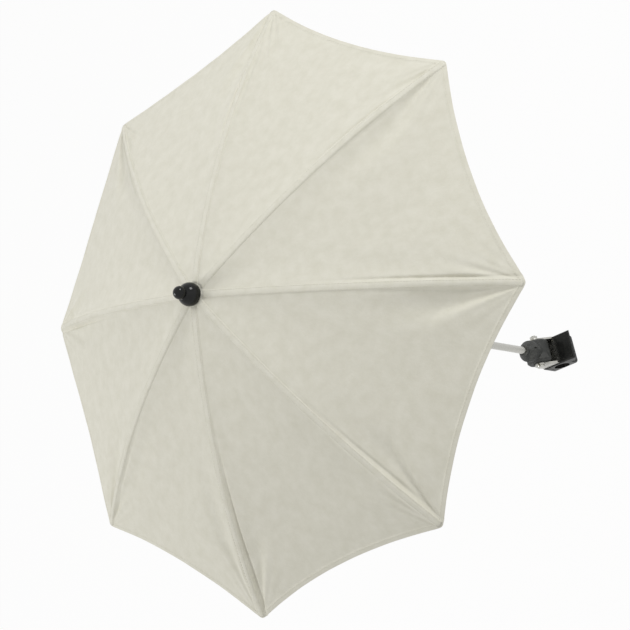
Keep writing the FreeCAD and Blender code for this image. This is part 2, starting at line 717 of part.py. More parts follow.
save("clamp_upper_jaw", make_upper_jaw())
save("clamp_lower_jaw", make_lower_jaw())
save("upper_pad", make_pad(1))
save("lower_pad", make_pad(-1))
save("jaw_hinge_pin", make_hinge_pin())
save("captive_nut", make_captive_nut())
save("screw_washer", make_screw_washer())
save("thumbscrew_rod", make_thumbscrew_rod())
save("thumbscrew_knob", make_thumbscrew_knob())
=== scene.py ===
import json
import math

import bpy
import numpy as np
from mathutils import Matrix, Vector

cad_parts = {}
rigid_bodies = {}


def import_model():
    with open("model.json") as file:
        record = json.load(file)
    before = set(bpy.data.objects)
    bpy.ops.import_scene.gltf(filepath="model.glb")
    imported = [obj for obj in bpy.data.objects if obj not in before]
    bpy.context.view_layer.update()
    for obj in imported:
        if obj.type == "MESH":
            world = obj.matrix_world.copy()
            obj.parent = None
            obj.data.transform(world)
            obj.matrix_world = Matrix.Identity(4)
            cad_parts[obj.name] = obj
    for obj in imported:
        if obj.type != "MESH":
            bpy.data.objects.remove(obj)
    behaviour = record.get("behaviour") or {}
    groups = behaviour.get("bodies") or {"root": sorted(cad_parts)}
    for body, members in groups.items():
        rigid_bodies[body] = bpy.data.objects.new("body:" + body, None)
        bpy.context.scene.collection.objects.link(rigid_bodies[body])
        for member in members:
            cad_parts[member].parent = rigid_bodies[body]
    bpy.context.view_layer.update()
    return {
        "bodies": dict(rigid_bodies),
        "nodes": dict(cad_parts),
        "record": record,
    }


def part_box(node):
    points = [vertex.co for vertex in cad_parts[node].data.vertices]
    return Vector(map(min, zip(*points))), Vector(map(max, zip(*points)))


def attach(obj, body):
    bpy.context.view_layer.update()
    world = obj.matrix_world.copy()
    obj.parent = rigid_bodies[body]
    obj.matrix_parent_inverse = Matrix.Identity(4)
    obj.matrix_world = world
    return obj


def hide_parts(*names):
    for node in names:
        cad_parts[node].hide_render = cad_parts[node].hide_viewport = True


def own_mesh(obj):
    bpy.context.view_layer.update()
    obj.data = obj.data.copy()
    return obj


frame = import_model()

# Clamp jaws, knob, crown and runner
# Black nylon mouldings with the fine grain of the tool in their skin. The jaws close on the pram's tube,
# the knob turns the thumbscrew, and the crown and the runner carry the hinges of ribs and struts.
MOULDED_BLACK = ("clamp_upper_jaw", "clamp_lower_jaw", "thumbscrew_knob", "crown", "runner")
MOULDED_BLACK_COLOUR = (0.009, 0.0095, 0.009, 1)
MOULDED_BLACK_RUBBED = (0.017, 0.018, 0.017, 1)


def put(tree, kind, inputs=None, **settings):
    node = tree.nodes.new(kind)
    for name, value in settings.items():
        setattr(node, name, value)
    for name, value in (inputs or {}).items():
        if isinstance(value, bpy.types.NodeSocket):
            tree.links.new(value, node.inputs[name])
        else:
            node.inputs[name].default_value = value
    return node


def calculate(tree, operation, first, second):
    return put(tree, "ShaderNodeMath", {0: first, 1: second}, operation=operation).outputs[0]


def spread(tree, value, low, high, to_low, to_high):
    sizes = {"Value": value, "From Min": low, "From Max": high, "To Min": to_low, "To Max": to_high}
    return put(tree, "ShaderNodeMapRange", sizes).outputs[0]


def blend_colours(tree, share, first, second):
    return put(tree, "ShaderNodeMix", {0: share, 6: first, 7: second}, data_type="RGBA").outputs[2]


def start_group(name, inputs, outputs):
    group = bpy.data.node_groups.new(name, "ShaderNodeTree")
    for label, value in inputs.items():
        kind = "NodeSocketVector" if value is None else "NodeSocketFloat"
        socket = group.interface.new_socket(label, in_out="INPUT", socket_type=kind)
        if value is not None:
            socket.default_value = value
    for label in outputs:
        group.interface.new_socket(label, in_out="OUTPUT", socket_type="NodeSocketFloat")
    return group, group.nodes.new("NodeGroupInput").outputs, group.nodes.new("NodeGroupOutput").inputs


def start_material(name, **constants):
    material = bpy.data.materials.new(name)
    material.use_nodes = True
    shader = material.node_tree.nodes["Principled BSDF"]
    for label, value in constants.items():
        shader.inputs[label.replace("_", " ")].default_value = value
    return material, material.node_tree, shader.inputs


def use_group(tree, group, place, **values):
    node = put(tree, "ShaderNodeGroup", node_tree=group)
    tree.links.new(place, node.inputs["Place"])
    for label, value in values.items():
        node.inputs[label.replace("_", " ")].default_value = value
    return node.outputs


def set_bump(tree, shader, height, distance, strength):
    bump = put(tree, "ShaderNodeBump", {"Height": height, "Distance": distance, "Strength": strength})
    tree.links.new(bump.outputs[0], shader["Normal"])


def object_place(tree):
    return put(tree, "ShaderNodeTexCoord").outputs["Object"]


def dress(names, material):
    for name in names:
        node = frame["nodes"][name]
        node.data.materials.clear()
        node.data.materials.append(material)


# Skin of a moulding: a fine even grain, flow clouds in its shine, and dust that settles on what faces up
moulded_skin, given, result = start_group(
    "moulded skin", {"Place": None, "Grain": 0.0006, "Cloud": 0.012, "Dust": 0.3},
    ("Rubbed", "Gloss", "Height"))
grain_scale = calculate(moulded_skin, "DIVIDE", 1.0, given["Grain"])
grain = put(moulded_skin, "ShaderNodeTexNoise",
            {"Vector": given["Place"], "Scale": grain_scale, "Detail": 2.0})
cloud_scale = calculate(moulded_skin, "DIVIDE", 1.0, given["Cloud"])
cloud = put(moulded_skin, "ShaderNodeTexNoise",
            {"Vector": given["Place"], "Scale": cloud_scale, "Detail": 4.0})
facing = put(moulded_skin, "ShaderNodeNewGeometry").outputs["Normal"]
upward = put(moulded_skin, "ShaderNodeSeparateXYZ", {0: facing}).outputs["Z"]
settled = spread(moulded_skin, upward, 0.2, 1.0, 0.0, 1.0)
settled = calculate(moulded_skin, "MULTIPLY", settled, given["Dust"])
settled = calculate(moulded_skin, "MULTIPLY", settled, cloud.outputs[0])
rubbed = spread(moulded_skin, cloud.outputs[0], 0.45, 0.75, 0.0, 0.5)
moulded_skin.links.new(calculate(moulded_skin, "ADD", rubbed, settled), result["Rubbed"])
moulded_skin.links.new(spread(moulded_skin, cloud.outputs[0], 0.3, 0.7, -0.07, 0.09), result["Gloss"])
moulded_skin.links.new(grain.outputs[0], result["Height"])


def moulded_material(name, colour, rubbed_colour, roughness, **skin_values):
    material, tree, shader = start_material(name, Specular_IOR_Level=0.25)
    skin = use_group(tree, moulded_skin, object_place(tree), **skin_values)
    tree.links.new(blend_colours(tree, skin["Rubbed"], colour, rubbed_colour), shader["Base Color"])
    tree.links.new(calculate(tree, "ADD", skin["Gloss"], roughness), shader["Roughness"])
    set_bump(tree, shader, skin["Height"], 0.0001, 0.35)
    return material


black_nylon = moulded_material("black nylon", MOULDED_BLACK_COLOUR, MOULDED_BLACK_RUBBED, 0.34, Dust=0.15)
dress(MOULDED_BLACK, black_nylon)

# Grip pads
# Two black rubber pads lie in the jaws and keep the tube from turning.
# They are moulded matt, and dust clings to them.
GRIP_PADS = ("upper_pad", "lower_pad")
RUBBER_COLOUR = (0.014, 0.014, 0.014, 1)
RUBBER_DUSTY = (0.035, 0.034, 0.032, 1)
pad_rubber = moulded_material("pad rubber", RUBBER_COLOUR, RUBBER_DUSTY, 0.82, Grain=0.0009, Dust=0.6)
dress(GRIP_PADS, pad_rubber)

# Knuckle and its washers
# The tilting knuckle is a grey nylon moulding that holds the foot of the shaft in its tapered socket.
# A friction washer of the same grey is pressed to each side of it by the bolt.
MOULDED_GREY = ("knuckle", "friction_washers")
MOULDED_GREY_COLOUR = (0.04, 0.042, 0.04, 1)
MOULDED_GREY_RUBBED = (0.12, 0.122, 0.118, 1)
grey_nylon = moulded_material(
    "grey nylon", MOULDED_GREY_COLOUR, MOULDED_GREY_RUBBED, 0.52, Grain=0.0008, Cloud=0.006, Dust=0.4)
dress(MOULDED_GREY, grey_nylon)

# Steel fittings
# Yoke, bolt, nut, screws, washers, pins and rivets are steel pressings and turned pieces, plated bright.
# The plating is rubbed by handling, so it is dull in patches and has fine marks.
PLATED_STEEL = (
    "yoke", "yoke_screws", "pivot_bolt", "pivot_nut", "captive_nut", "jaw_hinge_pin", "screw_washer",
    "thumbscrew_rod", "socket_pin", "crown_pins", "crown_rivet", "finial_stud", "catch_pin", "top_catch",
    "runner_pins")
STEEL_COLOUR = (0.50, 0.495, 0.46, 1)
STEEL_DULL = (0.30, 0.295, 0.27, 1)
steel_marks, given, result = start_group(
    "steel marks", {"Place": None, "Mark": 0.0012, "Patch": 0.015}, ("Dull", "Roughness", "Height"))
patch_scale = calculate(steel_marks, "DIVIDE", 1.0, given["Patch"])
patch = put(steel_marks, "ShaderNodeTexNoise",
            {"Vector": given["Place"], "Scale": patch_scale, "Detail": 5.0})
mark_scale = calculate(steel_marks, "DIVIDE", 1.0, given["Mark"])
mark = put(steel_marks, "ShaderNodeTexNoise",
           {"Vector": given["Place"], "Scale": mark_scale, "Detail": 2.0})
steel_marks.links.new(spread(steel_marks, patch.outputs[0], 0.45, 0.75, 0.0, 0.8), result["Dull"])
steel_marks.links.new(spread(steel_marks, patch.outputs[0], 0.3, 0.7, 0.2, 0.36), result["Roughness"])
steel_marks.links.new(mark.outputs[0], result["Height"])


def steel_material(name, stretch):
    material, tree, shader = start_material(name, Metallic=1.0)
    place = put(tree, "ShaderNodeMapping", {"Vector": object_place(tree), "Scale": stretch}).outputs[0]
    marks = use_group(tree, steel_marks, place)
    tree.links.new(blend_colours(tree, marks["Dull"], STEEL_COLOUR, STEEL_DULL), shader["Base Color"])
    tree.links.new(marks["Roughness"], shader["Roughness"])
    set_bump(tree, shader, marks["Height"], 0.00005, 0.25)
    return material


plated_steel = steel_material("plated steel", (1, 1, 1))
dress(PLATED_STEEL, plated_steel)

# Shaft
# A straight drawn steel tube from the knuckle to the crown, plated bright.
# The draw marks run along it, so the pattern is stretched along its length.
drawn_steel = steel_material("drawn steel", (1, 1, 0.04))
dress(("shaft_tube",), drawn_steel)

# Ribs, struts and their rivets
# Eight ribs of pressed steel channel carry the cloth, and a forked steel strut holds each of them up.
# A rivet through the fork joins them.
rib_names = [name for name in frame["bodies"] if name.startswith("rib_")]
rib_numbers = sorted(int(name.split("_")[1]) for name in rib_names)
for number in rib_numbers:
    arm_names = [f"{piece}_{number}" for piece in ("rib", "stretcher", "stretcher_rivet")]
    dress(arm_names, plated_steel)

# Canopy cloth
# One round canopy of cream cotton, cut as gores that meet on the ribs and pulled tight over them.
# It saddles between the ribs, puckers where the tips pull at it, and has a doubled hem round its edge.
CANOPY_RADIUS = 0.350
CANOPY_RISE = 0.124
RIDGE_SAGITTA = 0.019
HEM_SCALLOP = 0.013
HEM_LIFT = 0.009
GORE_SAG = 0.005
CLOTH_START = 0.007
CLOTH_THICKNESS = 0.0006
HEM_WIDTH = 0.006
HEM_STEP = 0.00015
HEM_FOLD = 0.0003
HEM_ROLL = 0.001
HEM_EDGE_SHARE = 0.4
RIB_ROUNDING = 0.004
TIP_ROUNDING = 0.003
TIP_SPAN = 0.02
CLOTH_COLOUR = (0.775, 0.76, 0.665, 1)
CLOTH_SHADE = (0.715, 0.70, 0.597, 1)
half_gore = math.pi / len(rib_numbers)
gore_cos = math.cos(half_gore)
gore_sin = math.sin(half_gore)
ridge_chord = math.hypot(CANOPY_RADIUS, CANOPY_RISE)
ridge_bend = (ridge_chord ** 2 / 4 + RIDGE_SAGITTA ** 2) / (2 * RIDGE_SAGITTA)
ridge_share = (ridge_bend - RIDGE_SAGITTA) / ridge_chord
ridge_centre_x = CANOPY_RADIUS / 2 - CANOPY_RISE * ridge_share
ridge_centre_z = CANOPY_RISE / 2 - CANOPY_RADIUS * ridge_share
shaft_low, shaft_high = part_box("shaft_tube")
shaft_x = (shaft_low[0] + shaft_high[0]) / 2
shaft_y = (shaft_low[1] + shaft_high[1]) / 2
rib_joints = {joint["name"]: joint for joint in frame["record"]["behaviour"]["joints"]}


def ridge_rise(reach):
    return ridge_centre_z + np.sqrt(ridge_bend ** 2 - (reach - ridge_centre_x) ** 2)


rim_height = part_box("canopy_panel_1")[1][2] - float(ridge_rise(CLOTH_START))


def rib_azimuth(number):
    axis = rib_joints[f"rib_{number}_fold"]["axis"]
    return math.atan2(-axis[0], axis[1])


# A point of the cloth over one rib: reach along the rib, and across from -1 to 1 between two mid-gores
def cloth_point(reach, across, number):
    share = reach / CANOPY_RADIUS
    away = np.abs(across)
    slack = 1 - (1 - away) ** 2
    out = reach * gore_cos - HEM_SCALLOP * share ** 2 * slack
    side = reach * gore_sin * (1 - away)
    x = out * gore_cos + side * gore_sin
    y = np.sign(across) * (out * gore_sin - side * gore_cos)
    rounding = np.minimum(0.25, RIB_ROUNDING / (reach * gore_sin * gore_cos))
    soft = (np.hypot(away, rounding) - rounding) / (np.hypot(1, rounding) - rounding)
    soft_slack = 1 - (1 - soft) ** 2
    z = ridge_rise(reach) + (HEM_LIFT * share ** 2 - GORE_SAG * 4 * share * (1 - share)) * soft_slack
    z = z + tip_puckers(x, y, number) + seam_grooves(reach, y, number)
    near_tip = np.clip(1 - (CANOPY_RADIUS - reach) / TIP_SPAN, 0, 1) ** 2
    x = x - near_tip * TIP_SLANT * (np.hypot(y, TIP_ROUNDING) - np.abs(y))
    turn = rib_azimuth(number)
    east = x * math.cos(turn) - y * math.sin(turn)
    north = x * math.sin(turn) + y * math.cos(turn)
    z = z + cloth_ease(east, north)
    return np.stack([east + shaft_x, north + shaft_y, z + rim_height], axis=-1)


# The hem leaves the tip of a rib at this slant, and the corner is turned in round
TIP_SLANT = (2 * HEM_SCALLOP * gore_cos + CANOPY_RADIUS * gore_sin ** 2) / (
    CANOPY_RADIUS * gore_sin * gore_cos - 2 * HEM_SCALLOP * gore_sin)

# Puckers fan back from the tip of the rib, where the cloth is sewn to it, and lie close along the rib
PUCKER_REACH = 0.048
PUCKER_SPAN = 0.034
PUCKER_DEPTH = 0.0009
PUCKER_FOLDS = 32
PUCKER_FAN = 0.5
PUCKER_BEYOND_TIP = 0.004


def tip_puckers(x, y, number):
    back = CANOPY_RADIUS - x + PUCKER_BEYOND_TIP
    distance = np.hypot(back, y)
    angle = np.arctan2(y, back)
    spent = ((distance - PUCKER_REACH) / PUCKER_SPAN) ** 2 + (angle / PUCKER_FAN) ** 2
    depth = PUCKER_DEPTH * np.exp(-spent)
    phase = 1.9 * number
    folds = np.sin(PUCKER_FOLDS * angle + phase) + 0.6 * np.sin(0.6 * PUCKER_FOLDS * angle + 2.3 * phase)
    middle = 1 - np.exp(-(y / SEAM_HALF_WIDTH) ** 4)
    return depth * folds * middle


# The cloth dips beside each seam, in a broad uneven hollow and in a sharp crease along the doubled edge.
# The hollow deepens towards the rim, so that it stays clear of the struts when the ribs fold.
SEAM_HALF_WIDTH = 0.0045
HOLLOW_START = 0.05
HOLLOW_PLACE = 0.021
HOLLOW_WIDTH = 0.015
HOLLOW_DEPTH = 0.0085
HOLLOW_TAPER = 0.07
HOLLOW_UNEVEN = 0.7
HOLLOW_WAVES = 24
CREASE_PLACE = 0.0068
CREASE_WIDTH = 0.0018
CREASE_DEPTH = 0.0038
CREASE_REACH = 0.27
CREASE_SPAN = 0.07


def seam_grooves(reach, y, number):
    share = np.clip((reach - HOLLOW_START) / (CANOPY_RADIUS - HOLLOW_START), 0, 1)
    beside = np.abs(y)
    turn = np.sign(y)
    phase = 1.257 * number + 1.5 * turn + 1.21
    uneven = 1 + HOLLOW_UNEVEN * np.sin(HOLLOW_WAVES * reach + phase)
    narrow = np.clip((CANOPY_RADIUS - reach) / HOLLOW_TAPER, 0, 1)
    across = (beside - HOLLOW_PLACE * narrow) / (HOLLOW_WIDTH * (0.3 + 0.7 * narrow))
    hollow = HOLLOW_DEPTH * share ** 3 * narrow * np.exp(-across ** 2)
    sharp = (0.65 + 0.35 * np.sin(2.9 * number)) * (0.6 + 0.4 * turn)
    run = np.exp(-((reach - CREASE_REACH) / CREASE_SPAN) ** 2)
    crease = CREASE_DEPTH * sharp * run * np.exp(-((beside - CREASE_PLACE) / CREASE_WIDTH) ** 2)
    settle = 1 - np.exp(-(beside / SEAM_HALF_WIDTH) ** 4)
    return -(hollow * uneven + crease) * settle


# Ease left in the cutting shows as low broad swells across the whole canopy
EASE_SWELL = 0.0005
EASE_RIPPLE = 0.0003


def cloth_ease(east, north):
    swell = np.sin(31 * east + 12 * north) + np.sin(-17 * east + 37 * north + 1.3)
    ripple = np.sin(83 * east - 47 * north + 0.7) * np.sin(59 * east + 71 * north + 2.1)
    edge = np.clip(np.hypot(east, north) / CANOPY_RADIUS, 0, 1)
    return edge * (EASE_SWELL * swell + EASE_RIPPLE * ripple)


# The mesh is close at the tips, at the hem and beside the rib, where the cloth has its folds
MIDDLE_ROWS_FROM = 0.05
TIP_ROWS_FROM = 0.28
COLUMN_EVENNESS = 0.35
cloth_reach = np.concatenate([
    np.linspace(CLOTH_START, MIDDLE_ROWS_FROM, 12, endpoint=False),
    np.linspace(MIDDLE_ROWS_FROM, TIP_ROWS_FROM, 78, endpoint=False),
    np.linspace(TIP_ROWS_FROM, CANOPY_RADIUS - HEM_WIDTH, 38),
    np.linspace(CANOPY_RADIUS - HEM_WIDTH + HEM_FOLD, CANOPY_RADIUS, 9)])
even_steps = np.linspace(-1, 1, 141)
cloth_across = even_steps * (COLUMN_EVENNESS + (1 - COLUMN_EVENNESS) * np.abs(even_steps))


# Place of a point in its flat gore: along the gore's middle, and to the side of it
GORE_SPACING = 1.0


def lay_in_gore(reach, across, left, number):
    side = reach * gore_sin * (1 - np.abs(across))
    left = np.asarray(left)[:, None]
    gore = np.where(left, number - 1, number) % len(rib_numbers)
    return np.stack([reach * gore_cos + GORE_SPACING * gore, np.where(left, side, -side)], axis=-1)


def cloth_mesh(name, number):
    reach, across = np.meshgrid(cloth_reach, cloth_across, indexing="ij")
    top = cloth_point(reach, across, number)
    rows, columns = reach.shape
    hem = reach > CANOPY_RADIUS - HEM_WIDTH + HEM_FOLD / 2
    rolled = np.sqrt(np.clip((CANOPY_RADIUS - reach) / HEM_ROLL, 0, 1))
    top[..., 2] += np.where(hem, HEM_STEP * rolled, 0)
    under = cloth_point(reach, across, number)
    under[..., 2] -= CLOTH_THICKNESS * np.where(hem, HEM_EDGE_SHARE + (1 - HEM_EDGE_SHARE) * rolled, 1)
    index = np.arange(rows * columns).reshape(rows, columns)
    a, b, c, d = index[:-1, :-1], index[1:, :-1], index[1:, 1:], index[:-1, 1:]
    upper = np.stack([a, b, c, d], axis=-1).reshape(-1, 4)
    lower = np.stack([d, c, b, a], axis=-1).reshape(-1, 4) + rows * columns
    border = np.concatenate([index[0, :-1], index[:-1, -1], index[-1, :0:-1], index[:0:-1, 0]])
    border_next = np.roll(border, -1)
    below = rows * columns
    wall = np.stack([border, border_next, border_next + below, border + below], axis=-1)
    mesh = bpy.data.meshes.new(name)
    corners = np.concatenate([top.reshape(-1, 3), under.reshape(-1, 3)])
    faces = np.concatenate([upper, lower, wall])
    mesh.from_pydata(corners.tolist(), [], faces.tolist())
    left_face = across.reshape(-1)[faces % below].mean(axis=1) < 0
    laid = lay_in_gore(
        reach.reshape(-1)[faces % below], across.reshape(-1)[faces % below], left_face, number)
    mesh.uv_layers.new(name="cut").data.foreach_set("uv", laid.ravel())
    smooth = np.ones(len(faces), dtype=bool)
    smooth[-len(wall):] = False
    mesh.polygons.foreach_set("use_smooth", smooth)
    ends = np.empty(2 * len(mesh.edges), dtype=np.int32)
    mesh.edges.foreach_get("vertices", ends)
    rim = np.isin(ends.reshape(-1, 2) % below, border).all(axis=1)
    mesh.edges.foreach_set("use_edge_sharp", rim)
    one, two, three, four = (top.reshape(-1, 3)[upper[:, k]] for k in range(4))
    area = np.linalg.norm(np.cross(three - one, four - two), axis=1).sum() / 2
    return mesh, float(area)


# Plain weave: threads both ways, slubs that thicken some of them, and the clouding of washed cotton
plain_weave, given, result = start_group(
    "plain weave", {"Place": None, "Thread": 0.0007, "Cloud": 0.014}, ("Cloud", "Roughness", "Height"))
thread_scale = calculate(plain_weave, "DIVIDE", math.pi / 10, given["Thread"])
warp = put(plain_weave, "ShaderNodeTexWave",
           {"Vector": given["Place"], "Scale": thread_scale, "Distortion": 0.6, "Detail Scale": 2.0},
           bands_direction="X")
weft = put(plain_weave, "ShaderNodeTexWave",
           {"Vector": given["Place"], "Scale": thread_scale, "Distortion": 0.6, "Detail Scale": 2.0},
           bands_direction="Y")
threads = calculate(plain_weave, "ADD", warp.outputs["Fac"], weft.outputs["Fac"])
cloud_scale = calculate(plain_weave, "DIVIDE", 1.0, given["Cloud"])
clouding = put(plain_weave, "ShaderNodeTexNoise",
               {"Vector": given["Place"], "Scale": cloud_scale, "Detail": 6.0, "Roughness": 0.62})
slub_scale = calculate(plain_weave, "DIVIDE", 0.25, given["Thread"])
slubs = put(plain_weave, "ShaderNodeTexNoise",
            {"Vector": given["Place"], "Scale": slub_scale, "Detail": 3.0})
plain_weave.links.new(spread(plain_weave, clouding.outputs[0], 0.35, 0.68, 0.0, 1.0), result["Cloud"])
plain_weave.links.new(spread(plain_weave, slubs.outputs[0], 0.3, 0.7, 0.82, 0.96), result["Roughness"])
height = calculate(plain_weave, "MULTIPLY", threads, 0.25)
plain_weave.links.new(calculate(plain_weave, "ADD", height, slubs.outputs[0]), result["Height"])


def cloth_material(name, colour, shade, **weave_values):
    material, tree, shader = start_material(name, Sheen_Weight=0.15, Sheen_Roughness=0.6)
    chart = put(tree, "ShaderNodeUVMap", uv_map="cut").outputs[0]
    weave = use_group(tree, plain_weave, chart, **weave_values)
    tree.links.new(blend_colours(tree, weave["Cloud"], colour, shade), shader["Base Color"])
    tree.links.new(weave["Roughness"], shader["Roughness"])
    set_bump(tree, shader, weave["Height"], 0.0004, 0.4)
    return material


canopy_cotton = cloth_material("canopy cotton", CLOTH_COLOUR, CLOTH_SHADE)


def gather(piece, number):
    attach(piece, f"rib_{number}")
    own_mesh(piece)


cloth_pieces = {}
cloth_areas = {}
for number in rib_numbers:
    mesh, cloth_areas[number] = cloth_mesh(f"canopy_cloth_{number}", number)
    mesh.materials.append(canopy_cotton)
    cloth_pieces[number] = bpy.data.objects.new(f"canopy_cloth_{number}", mesh)
    bpy.context.scene.collection.objects.link(cloth_pieces[number])
    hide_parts(f"canopy_panel_{number}")
    gather(cloth_pieces[number], number)

# Felled seams
# Where two gores meet on a rib the edges are folded into a flat strip of doubled cloth.
# It stands a little proud of the canopy from the finial to the hem.
SEAM_HEIGHT = 0.0005
SEAM_START = 0.0145
SEAM_END_GAP = 0.001
SEAM_COLOUR = (0.785, 0.77, 0.68, 1)
SEAM_SHADE = (0.72, 0.705, 0.60, 1)
seam_cotton = cloth_material("seam cotton", SEAM_COLOUR, SEAM_SHADE, Cloud=0.012)
seam_profile = [(-1.0, -0.3), (-0.97, 0.7), (-0.85, 1.0), (0.0, 1.1), (0.85, 1.0), (0.97, 0.7), (1.0, -0.3)]
seam_reach = np.linspace(SEAM_START, CANOPY_RADIUS - SEAM_END_GAP, 150)


# Cloth beside the rib at a distance in metres instead of a share of the gore
def beside_rib(reach, distance, number):
    return cloth_point(reach, distance / (reach * gore_sin * gore_cos), number)


def seam_mesh(name, number):
    lines = []
    laid = []
    for side, lift in seam_profile:
        line = beside_rib(seam_reach, np.full_like(seam_reach, side * SEAM_HALF_WIDTH), number)
        line[:, 2] += lift * SEAM_HEIGHT + np.where(seam_reach > CANOPY_RADIUS - HEM_WIDTH, HEM_STEP, 0)
        lines.append(line)
        laid.append(np.stack([seam_reach, np.full_like(seam_reach, side * SEAM_HALF_WIDTH)], axis=-1))
    points = np.stack(lines, axis=1)
    laid = np.stack(laid, axis=1).reshape(-1, 2)
    rows, columns = points.shape[:2]
    index = np.arange(rows * columns).reshape(rows, columns)
    a, b, c, d = index[:-1, :-1], index[1:, :-1], index[1:, 1:], index[:-1, 1:]
    faces = np.stack([a, b, c, d], axis=-1).reshape(-1, 4).tolist()
    base = np.stack([index[:-1, -1], index[1:, -1], index[1:, 0], index[:-1, 0]], axis=-1).tolist()
    ends = [index[0].tolist(), index[-1, ::-1].tolist()]
    mesh = bpy.data.meshes.new(name)
    mesh.from_pydata(points.reshape(-1, 3).tolist(), [], faces + base + ends)
    chart = mesh.uv_layers.new(name="cut")
    order = np.empty(len(mesh.loops), dtype=np.int32)
    mesh.loops.foreach_get("vertex_index", order)
    chart.data.foreach_set("uv", laid[order].ravel())
    smooth = np.zeros(len(mesh.polygons), dtype=bool)
    smooth[:len(faces)] = True
    mesh.polygons.foreach_set("use_smooth", smooth)
    return mesh


seam_pieces = {}
for number in rib_numbers:
    mesh = seam_mesh(f"seam_{number}", number)
    mesh.materials.append(seam_cotton)
    seam_pieces[number] = bpy.data.objects.new(f"seam_{number}", mesh)
    bpy.context.scene.collection.objects.link(seam_pieces[number])
    gather(seam_pieces[number], number)

# Stitching
# Two rows of cream thread hold each felled seam, and one row holds the hem a little inside the edge.
# Each stitch is a short plump bar of thread that dips into the cloth at both ends.
STITCH_PITCH = 0.0034
STITCH_LENGTH = 0.0027
STITCH_THICKNESS = 0.0006
SEAM_ROW = 0.0032
SEAM_ROW_LIFT = 1.03
SEAM_ROW_INNER_GAP = 0.003
SEAM_ROW_OUTER_GAP = 0.004
HEM_ROW = 0.0046
HEM_ROW_GAP = 0.001
THREAD_COLOUR = (0.74, 0.725, 0.63, 1)
THREAD_SHADE = (0.64, 0.625, 0.53, 1)
sewing_thread, tree, shader = start_material("sewing thread", Roughness=0.7, Sheen_Weight=0.2)
twist = put(tree, "ShaderNodeTexNoise", {"Vector": object_place(tree), "Scale": 900.0, "Detail": 2.0})
tree.links.new(blend_colours(tree, twist.outputs[0], THREAD_COLOUR, THREAD_SHADE), shader["Base Color"])
set_bump(tree, shader, twist.outputs[0], 0.0001, 0.5)

stitch_rows = bpy.data.node_groups.new("stitch rows", "GeometryNodeTree")
stitch_rows.interface.new_socket("Rows", in_out="INPUT", socket_type="NodeSocketGeometry")
stitch_sizes = {"Pitch": STITCH_PITCH, "Length": STITCH_LENGTH, "Thickness": STITCH_THICKNESS}
stitch_inputs = {}
for label in stitch_sizes:
    stitch_inputs[label] = stitch_rows.interface.new_socket(
        label, in_out="INPUT", socket_type="NodeSocketFloat")
stitch_rows.interface.new_socket("Stitches", in_out="OUTPUT", socket_type="NodeSocketGeometry")
given = stitch_rows.nodes.new("NodeGroupInput").outputs
result = stitch_rows.nodes.new("NodeGroupOutput").inputs
spots = put(stitch_rows, "GeometryNodeCurveToPoints",
            {"Curve": given["Rows"], "Length": given["Pitch"]}, mode="LENGTH")
bar = put(stitch_rows, "GeometryNodeMeshUVSphere", {"Segments": 6, "Rings": 5, "Radius": 0.5})
size = put(stitch_rows, "ShaderNodeCombineXYZ",
           {"X": given["Thickness"], "Y": given["Thickness"], "Z": given["Length"]})
laid_bars = put(stitch_rows, "GeometryNodeInstanceOnPoints",
                {"Points": spots.outputs["Points"], "Instance": bar.outputs["Mesh"],
                 "Rotation": spots.outputs["Rotation"], "Scale": size.outputs[0]})
real_bars = put(stitch_rows, "GeometryNodeRealizeInstances", {"Geometry": laid_bars.outputs[0]})
threaded = put(stitch_rows, "GeometryNodeSetMaterial",
               {"Geometry": real_bars.outputs[0], "Material": sewing_thread})
stitch_rows.links.new(threaded.outputs[0], result["Stitches"])


def seam_row(side, number):
    reach = np.linspace(SEAM_START + SEAM_ROW_INNER_GAP, CANOPY_RADIUS - SEAM_ROW_OUTER_GAP, 160)
    row = beside_rib(reach, np.full_like(reach, side * SEAM_ROW), number)
    row[:, 2] += SEAM_HEIGHT * SEAM_ROW_LIFT + np.where(reach > CANOPY_RADIUS - HEM_WIDTH, HEM_STEP, 0)
    return row


def hem_row(side, number):
    start = (SEAM_HALF_WIDTH + HEM_ROW_GAP) / (CANOPY_RADIUS * gore_sin * gore_cos)
    across = side * np.linspace(start, 1, 90)
    row = cloth_point(np.full_like(across, CANOPY_RADIUS - HEM_ROW), across, number)
    row[:, 2] += HEM_STEP
    return row


def stitching(name, number):
    curve = bpy.data.curves.new(name, "CURVE")
    curve.dimensions = "3D"
    for row in (seam_row(-1, number), seam_row(1, number), hem_row(-1, number), hem_row(1, number)):
        spline = curve.splines.new("POLY")
        spline.points.add(len(row) - 1)
        spline.points.foreach_set("co", np.column_stack([row, np.ones(len(row))]).ravel())
    guide = bpy.data.objects.new(f"{name}_rows", curve)
    bpy.context.scene.collection.objects.link(guide)
    sewing = guide.modifiers.new("sewing", "NODES")
    sewing.node_group = stitch_rows
    for label, value in stitch_sizes.items():
        sewing[stitch_inputs[label].identifier] = value
    sewn = guide.evaluated_get(bpy.context.evaluated_depsgraph_get())
    mesh = bpy.data.meshes.new_from_object(sewn)
    bpy.data.objects.remove(guide)
    mesh.name = name
    mesh.polygons.foreach_set("use_smooth", np.ones(len(mesh.polygons), dtype=bool))
    piece = bpy.data.objects.new(name, mesh)
    bpy.context.scene.collection.objects.link(piece)
    return piece


# The rows of stitches of each panel, carried by its rib
for number in rib_numbers:
    stitches = stitching(f"stitches_{number}", number)
    gather(stitches, number)

